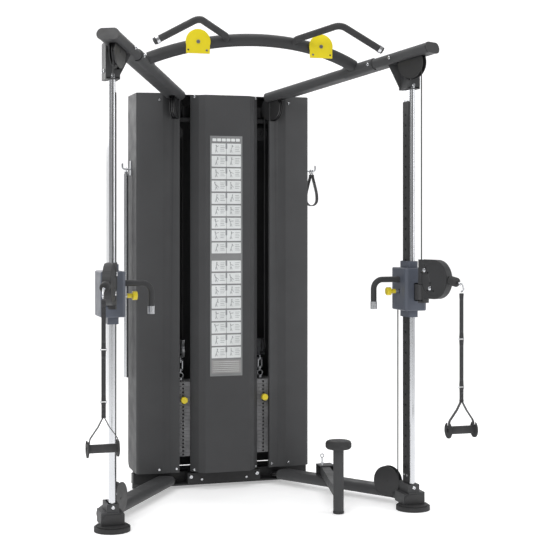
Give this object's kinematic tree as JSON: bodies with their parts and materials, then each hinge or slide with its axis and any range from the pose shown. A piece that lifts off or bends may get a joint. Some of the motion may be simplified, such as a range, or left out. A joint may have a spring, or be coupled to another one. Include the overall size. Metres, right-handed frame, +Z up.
{
  "type": "dual adjustable pulley machine",
  "caption": "Dual-stack cable training machine with splayed arms, chrome posts, height-adjustable pulley carriages, pull-up bar and step.",
  "frame": {"origin": "centre of the footprint box, on the floor", "axes": "+Z up, +X to the machine's right as seen by someone facing it, -Y towards the user"},
  "size_m": [1.788, 1.394, 2.3159],
  "materials": {
    "charcoal": "satin",
    "chrome": "polished",
    "strip_black": "satin",
    "rubber_black": "matte",
    "plastic_black": "matte",
    "slate": "satin",
    "yellow": "satin",
    "yellow_plastic": "gloss",
    "chart": "matte",
    "steel": "brushed",
    "iron": "matte",
    "nylon": "satin",
    "webbing": "woven",
    "cable": "satin",
    "foam": "matte"
  },
  "bodies": {
    "frame": {"base_arms": "charcoal", "arm_end_caps": "plastic_black", "rubber_feet": "rubber_black", "posts": "chrome", "hole_strips": "strip_black", "post_brackets": "charcoal", "top_arms": "charcoal", "pull_up_bar": "charcoal", "pull_up_grips": "rubber_black", "anchor_plates": "yellow", "tower_frame": "strip_black", "centre_cover": "charcoal", "wing_covers": "charcoal", "back_cover": "charcoal", "exercise_chart": "chart", "guide_rods": "chrome", "pulley_guards": "plastic_black", "return_pulleys": "nylon", "frame_bolts": "chrome", "accessory_hooks": "steel", "resting_plates": "iron", "frame_cables": "cable", "stack_cables": "cable", "carriage_cables": "cable"},
    "lat_bar_body": {"lat_bar": "chrome"},
    "ankle_strap_body": {"ankle_strap": "webbing"},
    "step": {"step_arm": "charcoal"},
    "step_pin_body": {"step_pin": "chrome"},
    "stack_right": {"lifted_plates_right": "iron", "selector_rod_right": "steel"},
    "pin_right": {"selector_pin_right": "yellow_plastic"},
    "floating_right": {"floating_pulley_right": "nylon"},
    "carriage_right": {"carriage_cover_right": "slate", "carriage_frame_right": "steel"},
    "knob_right": {"adjust_knob_right": "yellow_plastic"},
    "swivel_right": {"swivel_housing_right": "charcoal"},
    "swivel_upper_right": {"swivel_pulley_upper_right": "nylon"},
    "swivel_lower_right": {"swivel_pulley_lower_right": "nylon"},
    "pull_right": {"handle_clip_right": "chrome"},
    "handle_right": {"handle_strap_right": "webbing", "hand_grip_right": "foam"},
    "top_wheel_right": {"top_pulley_right": "nylon"},
    "inner_wheel_right": {"inner_pulley_right": "nylon"},
    "base_wheel_right": {"base_pulley_right": "nylon"},
    "stack_left": {"lifted_plates_left": "iron", "selector_rod_left": "steel"},
    "pin_left": {"selector_pin_left": "yellow_plastic"},
    "floating_left": {"floating_pulley_left": "nylon"},
    "carriage_left": {"carriage_cover_left": "slate", "carriage_frame_left": "steel"},
    "knob_left": {"adjust_knob_left": "yellow_plastic"},
    "swivel_left": {"swivel_housing_left": "charcoal"},
    "swivel_upper_left": {"swivel_pulley_upper_left": "nylon"},
    "swivel_lower_left": {"swivel_pulley_lower_left": "nylon"},
    "pull_left": {"handle_clip_left": "chrome"},
    "handle_left": {"handle_strap_left": "webbing", "hand_grip_left": "foam"},
    "top_wheel_left": {"top_pulley_left": "nylon"},
    "inner_wheel_left": {"inner_pulley_left": "nylon"},
    "base_wheel_left": {"base_pulley_left": "nylon"}
  },
  "joints": [
    {"name": "stack_lift_right", "type": "slide", "parent": "frame", "child": "stack_right", "axis": [0, 0, 1], "range_m": [0, 0.95], "deforming": ["stack_cables"]},
    {"name": "pin_pull_right", "type": "slide", "parent": "stack_right", "child": "pin_right", "axis": [0, -1, 0], "range_m": [0, 0.09]},
    {"name": "floating_turn_right", "type": "hinge", "parent": "stack_right", "child": "floating_right", "pos_m": [0.21652, 0.53904, 0.725], "axis": [-0.8762, -0.482, 0], "continuous": true},
    {"name": "carriage_height_right", "type": "slide", "parent": "frame", "child": "carriage_right", "axis": [0, 0, 1], "range_m": [-0.35, 0.8], "deforming": ["carriage_cables"]},
    {"name": "knob_pull_right", "type": "slide", "parent": "carriage_right", "child": "knob_right", "axis": [-1, 0, 0], "range_m": [-0.012, 0.006]},
    {"name": "swivel_turn_right", "type": "hinge", "parent": "carriage_right", "child": "swivel_right", "pos_m": [0.738, -0.409, 1.047], "axis": [0, 0, 1], "range_deg": [-70, 70]},
    {"name": "swivel_upper_turn_right", "type": "hinge", "parent": "swivel_right", "child": "swivel_upper_right", "pos_m": [0.75145, -0.44879, 1.154], "axis": [-0.9474, -0.3201, 0], "continuous": true},
    {"name": "swivel_lower_turn_right", "type": "hinge", "parent": "swivel_right", "child": "swivel_lower_right", "pos_m": [0.76361, -0.48479, 1.07], "axis": [-0.9474, -0.3201, 0], "continuous": true},
    {"name": "handle_pull_right", "type": "slide", "parent": "swivel_right", "child": "pull_right", "axis": [0.3201, -0.9474, 0], "range_m": [0, 1.9]},
    {"name": "handle_swing_right", "type": "hinge", "parent": "pull_right", "child": "handle_right", "pos_m": [0.824, -0.668, 1.062], "axis": [-0.9474, -0.3201, 0], "range_deg": [-15, 60]},
    {"name": "top_turn_right", "type": "hinge", "parent": "frame", "child": "top_wheel_right", "pos_m": [0.71053, -0.35906, 2.141], "axis": [-0.8762, -0.482, 0], "continuous": true},
    {"name": "inner_turn_right", "type": "hinge", "parent": "frame", "child": "inner_wheel_right", "pos_m": [0.26086, 0.45843, 1.98], "axis": [-0.8762, -0.482, 0], "continuous": true},
    {"name": "base_turn_right", "type": "hinge", "parent": "frame", "child": "base_wheel_right", "pos_m": [0.67, -0.155, 0.106], "axis": [-0.8335, -0.5525, 0], "continuous": true},
    {"name": "stack_lift_left", "type": "slide", "parent": "frame", "child": "stack_left", "axis": [0, 0, 1], "range_m": [0, 0.95], "deforming": ["stack_cables"]},
    {"name": "pin_pull_left", "type": "slide", "parent": "stack_left", "child": "pin_left", "axis": [0, -1, 0], "range_m": [0, 0.09]},
    {"name": "floating_turn_left", "type": "hinge", "parent": "stack_left", "child": "floating_left", "pos_m": [-0.21652, 0.53904, 0.725], "axis": [-0.8762, 0.482, 0], "continuous": true},
    {"name": "carriage_height_left", "type": "slide", "parent": "frame", "child": "carriage_left", "axis": [0, 0, 1], "range_m": [-0.35, 0.8], "deforming": ["carriage_cables"]},
    {"name": "knob_pull_left", "type": "slide", "parent": "carriage_left", "child": "knob_left", "axis": [1, 0, 0], "range_m": [-0.012, 0.006]},
    {"name": "swivel_turn_left", "type": "hinge", "parent": "carriage_left", "child": "swivel_left", "pos_m": [-0.738, -0.409, 1.047], "axis": [0, 0, 1], "range_deg": [-70, 70]},
    {"name": "swivel_upper_turn_left", "type": "hinge", "parent": "swivel_left", "child": "swivel_upper_left", "pos_m": [-0.75145, -0.44879, 1.154], "axis": [-0.9474, 0.3201, 0], "continuous": true},
    {"name": "swivel_lower_turn_left", "type": "hinge", "parent": "swivel_left", "child": "swivel_lower_left", "pos_m": [-0.76361, -0.48479, 1.07], "axis": [-0.9474, 0.3201, 0], "continuous": true},
    {"name": "handle_pull_left", "type": "slide", "parent": "swivel_left", "child": "pull_left", "axis": [-0.3201, -0.9474, 0], "range_m": [0, 1.9]},
    {"name": "handle_swing_left", "type": "hinge", "parent": "pull_left", "child": "handle_left", "pos_m": [-0.824, -0.668, 1.062], "axis": [-0.9474, 0.3201, 0], "range_deg": [-15, 60]},
    {"name": "top_turn_left", "type": "hinge", "parent": "frame", "child": "top_wheel_left", "pos_m": [-0.71053, -0.35906, 2.141], "axis": [-0.8762, 0.482, 0], "continuous": true},
    {"name": "inner_turn_left", "type": "hinge", "parent": "frame", "child": "inner_wheel_left", "pos_m": [-0.26086, 0.45843, 1.98], "axis": [-0.8762, 0.482, 0], "continuous": true},
    {"name": "base_turn_left", "type": "hinge", "parent": "frame", "child": "base_wheel_left", "pos_m": [-0.67, -0.155, 0.106], "axis": [-0.8335, 0.5525, 0], "continuous": true},
    {"name": "lat_bar_swing", "type": "hinge", "parent": "frame", "child": "lat_bar_body", "pos_m": [-0.49, 0.612, 1.6562], "axis": [1, 0, 0], "range_deg": [-12, 12]},
    {"name": "ankle_strap_swing", "type": "hinge", "parent": "frame", "child": "ankle_strap_body", "pos_m": [0.514, 0.562, 1.655], "axis": [1, 0, 0], "range_deg": [-12, 12]},
    {"name": "step_swing", "type": "hinge", "parent": "frame", "child": "step", "pos_m": [0.471, 0.216, 0.103], "axis": [0, 0, 1], "range_deg": [-75, 0]},
    {"name": "step_pin_pull", "type": "slide", "parent": "frame", "child": "step_pin_body", "axis": [0, 0, 1], "range_m": [-0.012, 0.012]}
  ],
  "couplings": [
    {"joint": "handle_pull_right", "follows": "stack_lift_right", "ratio": 2},
    {"joint": "floating_turn_right", "follows": "stack_lift_right", "rad_per_m": 28.571},
    {"joint": "top_turn_right", "follows": "stack_lift_right", "rad_per_m": 35.088},
    {"joint": "inner_turn_right", "follows": "stack_lift_right", "rad_per_m": 35.088},
    {"joint": "swivel_upper_turn_right", "follows": "stack_lift_right", "rad_per_m": -47.619},
    {"joint": "swivel_lower_turn_right", "follows": "stack_lift_right", "rad_per_m": 47.619},
    {"joint": "base_turn_right", "follows": "carriage_height_right", "rad_per_m": 17.241},
    {"joint": "handle_pull_left", "follows": "stack_lift_left", "ratio": 2},
    {"joint": "floating_turn_left", "follows": "stack_lift_left", "rad_per_m": 28.571},
    {"joint": "top_turn_left", "follows": "stack_lift_left", "rad_per_m": 35.088},
    {"joint": "inner_turn_left", "follows": "stack_lift_left", "rad_per_m": 35.088},
    {"joint": "swivel_upper_turn_left", "follows": "stack_lift_left", "rad_per_m": -47.619},
    {"joint": "swivel_lower_turn_left", "follows": "stack_lift_left", "rad_per_m": 47.619},
    {"joint": "base_turn_left", "follows": "carriage_height_left", "rad_per_m": 17.241}
  ]
}
